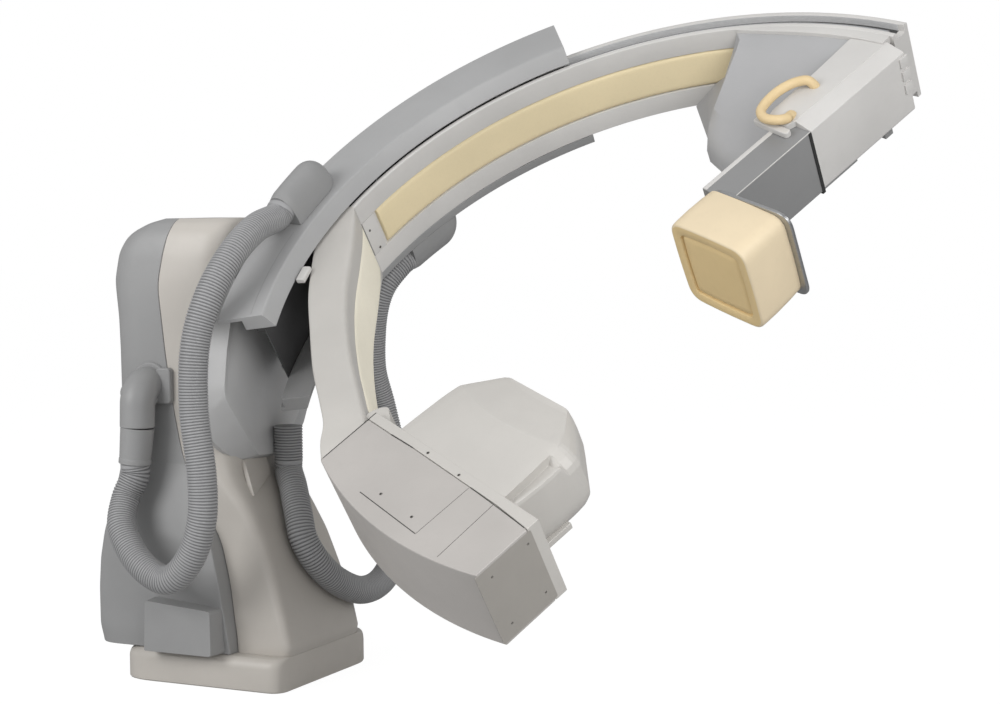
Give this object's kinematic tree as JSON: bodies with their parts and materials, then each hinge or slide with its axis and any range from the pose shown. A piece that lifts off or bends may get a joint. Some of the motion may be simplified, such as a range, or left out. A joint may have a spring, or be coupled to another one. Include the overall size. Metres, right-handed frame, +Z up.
{
  "type": "angiography system",
  "caption": "Floor-stand C-arm X-ray machine: a sleeve turning on a stand, an arc sliding through it, and a detector opposite the X-ray tube.",
  "frame": {"origin": "on the floor, under the middle of the stand's foot", "axes": "+X from the stand along the horizontal turning axis to the isocentre, +Z up"},
  "size_m": [2.2902, 1.9525, 2.0299],
  "materials": {
    "steel_plate": "satin",
    "casting": "satin",
    "cream_shell": "satin",
    "grey_shell": "satin",
    "sleeve_shell": "satin",
    "fairing_shell": "satin",
    "arc_shell": "satin",
    "arc_alloy": "painted satin",
    "alloy": "satin",
    "slide_alloy": "painted satin",
    "rail_steel": "brushed",
    "conduit": "matte",
    "wear_pad": "matte",
    "soft_panel": "matte",
    "beige_shell": "matte",
    "window_sheet": "matte"
  },
  "bodies": {
    "stand": {"floor_plate": "steel_plate", "foot_cover": "cream_shell", "column_casting": "casting", "bearing_housing": "casting", "propeller_motor": "casting", "front_cover": "cream_shell", "back_cover": "grey_shell", "lower_rear_cover": "grey_shell", "cable_box": "grey_shell", "bearing_pod": "grey_shell", "hose_elbow": "grey_shell", "hose_cuff": "grey_shell", "main_hose": "conduit", "second_hose": "conduit"},
    "carrier": {"hub_shaft": "steel_plate", "sleeve_frame": "alloy", "sleeve_cover_near": "sleeve_shell", "sleeve_cover_far": "sleeve_shell", "sleeve_back_cover": "sleeve_shell", "sleeve_end_plate": "sleeve_shell", "mouth_pad": "wear_pad", "hose_fitting_near": "grey_shell", "hose_fitting_far": "grey_shell", "roller_axle_upper_near": "rail_steel", "roller_axle_upper_far": "rail_steel", "roller_axle_lower_near": "rail_steel", "roller_axle_lower_far": "rail_steel"},
    "arc": {"arc_beam": "arc_alloy", "rail_near": "rail_steel", "rail_far": "rail_steel", "inner_panel": "soft_panel", "joint_plate": "arc_shell", "lower_arm": "arc_shell", "lower_panel": "soft_panel", "tube_box": "arc_shell", "access_panel": "arc_shell", "box_end_block": "arc_shell", "housing_base": "arc_shell", "tube_housing": "arc_shell", "xray_tube": "alloy", "collimator": "alloy", "fairing": "fairing_shell", "end_cover_near": "arc_shell", "carriage_cover": "arc_shell", "handle_bracket": "alloy", "grip_handle": "beige_shell", "lift_screw": "rail_steel"},
    "detector": {"slide_box": "slide_alloy", "detector_backing": "alloy", "detector_housing": "beige_shell", "detector_window": "window_sheet", "flat_panel": "window_sheet"},
    "roller_upper_near": {"guide_roller_upper_near": "rail_steel"},
    "roller_upper_far": {"guide_roller_upper_far": "rail_steel"},
    "roller_lower_near": {"guide_roller_lower_near": "rail_steel"},
    "roller_lower_far": {"guide_roller_lower_far": "rail_steel"}
  },
  "joints": [
    {"name": "propeller_rotation", "type": "hinge", "parent": "stand", "child": "carrier", "pos_m": [0, 0, 1.135], "axis": [1, 0, 0], "range_deg": [-70.2, 169.8], "deforming": ["main_hose", "second_hose"]},
    {"name": "arc_angulation", "type": "hinge", "parent": "carrier", "child": "arc", "pos_m": [1.429, 0, 1.135], "axis": [0, -0.6455, 0.7638], "range_deg": [-6, 40]},
    {"name": "detector_slide", "type": "slide", "parent": "arc", "child": "detector", "axis": [0.4664, 0.6756, 0.571], "range_m": [0, 0.26]},
    {"name": "upper_near_roller_spin", "type": "hinge", "parent": "carrier", "child": "roller_upper_near", "pos_m": [0.69525, 0.63728, 1.83589], "axis": [0, -0.6455, 0.7638], "range_deg": [-3100, 500]},
    {"name": "upper_far_roller_spin", "type": "hinge", "parent": "carrier", "child": "roller_upper_far", "pos_m": [0.69525, 0.79736, 1.64647], "axis": [0, -0.6455, 0.7638], "range_deg": [-3100, 500]},
    {"name": "lower_near_roller_spin", "type": "hinge", "parent": "carrier", "child": "roller_lower_near", "pos_m": [0.32398, 0.26096, 1.51788], "axis": [0, -0.6455, 0.7638], "range_deg": [-3100, 500]},
    {"name": "lower_far_roller_spin", "type": "hinge", "parent": "carrier", "child": "roller_lower_far", "pos_m": [0.32398, 0.42104, 1.32846], "axis": [0, -0.6455, 0.7638], "range_deg": [-3100, 500]}
  ],
  "couplings": [
    {"joint": "upper_near_roller_spin", "follows": "arc_angulation", "ratio": -75.903},
    {"joint": "upper_far_roller_spin", "follows": "arc_angulation", "ratio": -75.903},
    {"joint": "lower_near_roller_spin", "follows": "arc_angulation", "ratio": -75.903},
    {"joint": "lower_far_roller_spin", "follows": "arc_angulation", "ratio": -75.903}
  ]
}
